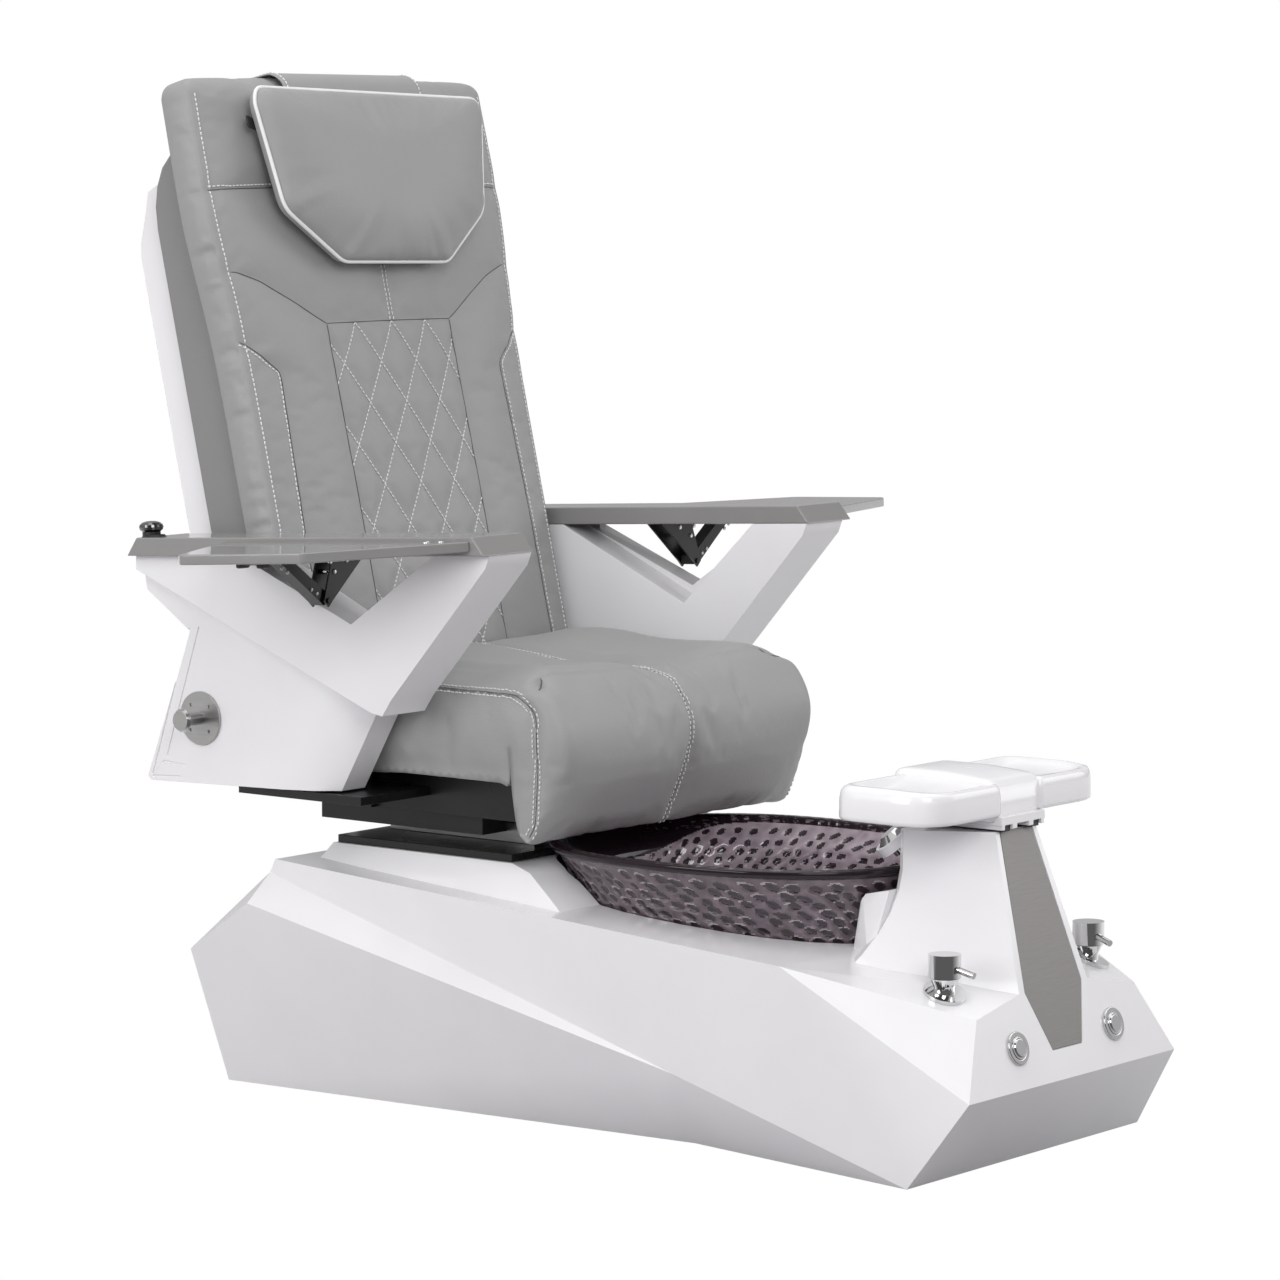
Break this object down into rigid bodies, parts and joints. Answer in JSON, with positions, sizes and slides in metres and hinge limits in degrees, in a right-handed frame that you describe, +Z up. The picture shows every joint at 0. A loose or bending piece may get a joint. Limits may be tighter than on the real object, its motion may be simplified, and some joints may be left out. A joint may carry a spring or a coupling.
{
  "type": "pedicure spa chair",
  "caption": "Pedicure spa chair: grey leather massage recliner on a sliding seat, over a white moulded base with a smoky glass foot bowl and chrome taps.",
  "frame": {"origin": "Middle of the part's bounding box in X and Y, on the floor", "axes": "+Z up, the sitter faces -Y, X is across the chair with +X on the sitter's left"},
  "size_m": [1.38, 1.4511, 1.448],
  "materials": {
    "white_shell": "smooth white gloss shell",
    "accent": "satin taupe",
    "black_metal": "satin black",
    "rubber_feet": "matt black rubber",
    "bowl_glass": "smoky hammered glass with a smooth lip",
    "chrome": "polished",
    "dark_chrome": "dark polished",
    "dark_plastic": "matt dark grey",
    "black_plastic": "matt black",
    "steel": "brushed",
    "plywood": "raw plywood",
    "leather": "mid grey, double white stitching",
    "leather_dark": "plain grey side",
    "board": "glossy warm grey",
    "rubber_rollers": "matt black rubber"
  },
  "bodies": {
    "base": {"base_shell": "white_shell", "accent_panel": "accent", "floor_frame": "black_metal", "levelling_feet": "rubber_feet", "foot_bowl": "bowl_glass", "bowl_cradle": "black_metal", "drain_strainer": "chrome", "drain_pipe": "dark_plastic", "jet_motor": "dark_plastic", "jet_cover": "white_shell", "mixer_body_right": "chrome", "mixer_body_left": "chrome", "button_bezel_right": "chrome", "button_bezel_left": "chrome", "spray_holder": "white_shell", "footrest_rails": "black_plastic", "slide_plate": "black_metal", "slide_rails": "steel"},
    "carriage": {"seat_frame": "black_metal", "seat_pan": "plywood", "seat_cushion": "leather", "recline_pins": "steel", "arm_panel_right": "white_shell", "arm_panel_left": "white_shell", "arm_board_right": "board", "arm_board_left": "board", "tray_bracket_right": "black_metal", "tray_bracket_left": "black_metal", "bag_hook": "steel", "knob_base": "black_plastic"},
    "back": {"back_frame": "black_metal", "back_shell": "white_shell", "back_bolster": "leather_dark", "back_cushion": "leather", "pillow_flap": "leather", "head_pillow": "leather", "massage_rails": "steel"},
    "footrest": {"footrest_slider": "white_shell", "footrest_pad": "white_shell"},
    "tray_right": {"tray_brace_right": "black_metal", "side_tray_right": "board"},
    "tray_left": {"tray_brace_left": "black_metal", "side_tray_left": "board"},
    "mixer_right": {"mixer_handle_right": "chrome"},
    "mixer_left": {"mixer_handle_left": "chrome"},
    "button_right": {"push_button_right": "chrome"},
    "button_left": {"push_button_left": "chrome"},
    "spray": {"hand_spray": "chrome"},
    "stopper": {"drain_stopper": "chrome"},
    "impeller": {"jet_impeller": "white_shell"},
    "knob": {"speed_knob": "dark_chrome"},
    "actuator": {"actuator_body": "dark_plastic"},
    "rod": {"actuator_rod": "steel"},
    "screw": {"lead_screw": "steel"},
    "massage": {"massage_carriage": "dark_plastic"},
    "rocker": {"roller_arms": "steel"},
    "rollers_upper": {"massage_rollers_upper": "rubber_rollers"},
    "rollers_lower": {"massage_rollers_lower": "rubber_rollers"}
  },
  "joints": [
    {"name": "seat_slide", "type": "slide", "parent": "base", "child": "carriage", "axis": [0, -1, 0], "range_m": [-0.05, 0.1]},
    {"name": "back_recline", "type": "hinge", "parent": "carriage", "child": "back", "pos_m": [0, 0.33, 0.5], "axis": [-1, 0, 0], "range_deg": [0, 30]},
    {"name": "footrest_slide", "type": "slide", "parent": "base", "child": "footrest", "axis": [0, -1, 0], "range_m": [0, 0.05]},
    {"name": "tray_fold_right", "type": "hinge", "parent": "carriage", "child": "tray_right", "pos_m": [-0.414, 0.24105, 0.72507], "axis": [0, -0.9987, 0.0506], "range_deg": [0, 90]},
    {"name": "tray_fold_left", "type": "hinge", "parent": "carriage", "child": "tray_left", "pos_m": [0.414, 0.24105, 0.72507], "axis": [0, 0.9987, -0.0506], "range_deg": [0, 90]},
    {"name": "mixer_turn_right", "type": "hinge", "parent": "base", "child": "mixer_right", "pos_m": [-0.172, -0.635, 0.27], "axis": [0, 0, 1], "range_deg": [0, 110]},
    {"name": "mixer_turn_left", "type": "hinge", "parent": "base", "child": "mixer_left", "pos_m": [0.172, -0.635, 0.27], "axis": [0, 0, -1], "range_deg": [0, 110]},
    {"name": "button_press_right", "type": "slide", "parent": "base", "child": "button_right", "axis": [0, 0.9578, -0.2874], "range_m": [0, 0.004], "stiffness_N_per_m": 400},
    {"name": "button_press_left", "type": "slide", "parent": "base", "child": "button_left", "axis": [0, 0.9578, -0.2874], "range_m": [0, 0.004], "stiffness_N_per_m": 400},
    {"name": "spray_lift", "type": "slide", "parent": "base", "child": "spray", "axis": [-0.4201, 0.5001, 0.7572], "range_m": [0, 0.06]},
    {"name": "stopper_lift", "type": "slide", "parent": "base", "child": "stopper", "axis": [0, 0, 1], "range_m": [0, 0.008]},
    {"name": "jet_spin", "type": "hinge", "parent": "base", "child": "impeller", "pos_m": [0, -0.36, 0.214], "axis": [0, 0, 1], "continuous": true},
    {"name": "speed_turn", "type": "hinge", "parent": "carriage", "child": "knob", "pos_m": [-0.394, 0.58003, 0.79501], "axis": [0, 0.0506, 0.9987], "range_deg": [0, 270]},
    {"name": "actuator_tilt", "type": "hinge", "parent": "carriage", "child": "actuator", "pos_m": [0, 0.06, 0.435], "axis": [1, 0, 0], "range_deg": [0, 2]},
    {"name": "actuator_stroke", "type": "slide", "parent": "actuator", "child": "rod", "axis": [0, -1, 0], "range_m": [0, 0.034]},
    {"name": "massage_travel", "type": "slide", "parent": "back", "child": "massage", "axis": [0, 0.2266, 0.974], "range_m": [0, 0.45]},
    {"name": "lead_screw_turn", "type": "hinge", "parent": "back", "child": "screw", "pos_m": [0, 0.5042, 0.58678], "axis": [0, 0.2266, 0.974], "range_deg": [0, 5400]},
    {"name": "roller_rock", "type": "hinge", "parent": "massage", "child": "rocker", "pos_m": [0, 0.49285, 0.72905], "axis": [1, 0, 0], "range_deg": [-8, 8]},
    {"name": "rollers_upper_spin", "type": "hinge", "parent": "rocker", "child": "rollers_upper", "pos_m": [0, 0.50366, 0.77992], "axis": [1, 0, 0], "continuous": true},
    {"name": "rollers_lower_spin", "type": "hinge", "parent": "rocker", "child": "rollers_lower", "pos_m": [0, 0.48009, 0.67863], "axis": [1, 0, 0], "continuous": true}
  ],
  "couplings": [
    {"joint": "actuator_tilt", "follows": "back_recline", "ratio": 0.06},
    {"joint": "actuator_stroke", "follows": "back_recline", "m_per_rad": 0.0619},
    {"joint": "lead_screw_turn", "follows": "massage_travel", "rad_per_m": 209.44}
  ]
}
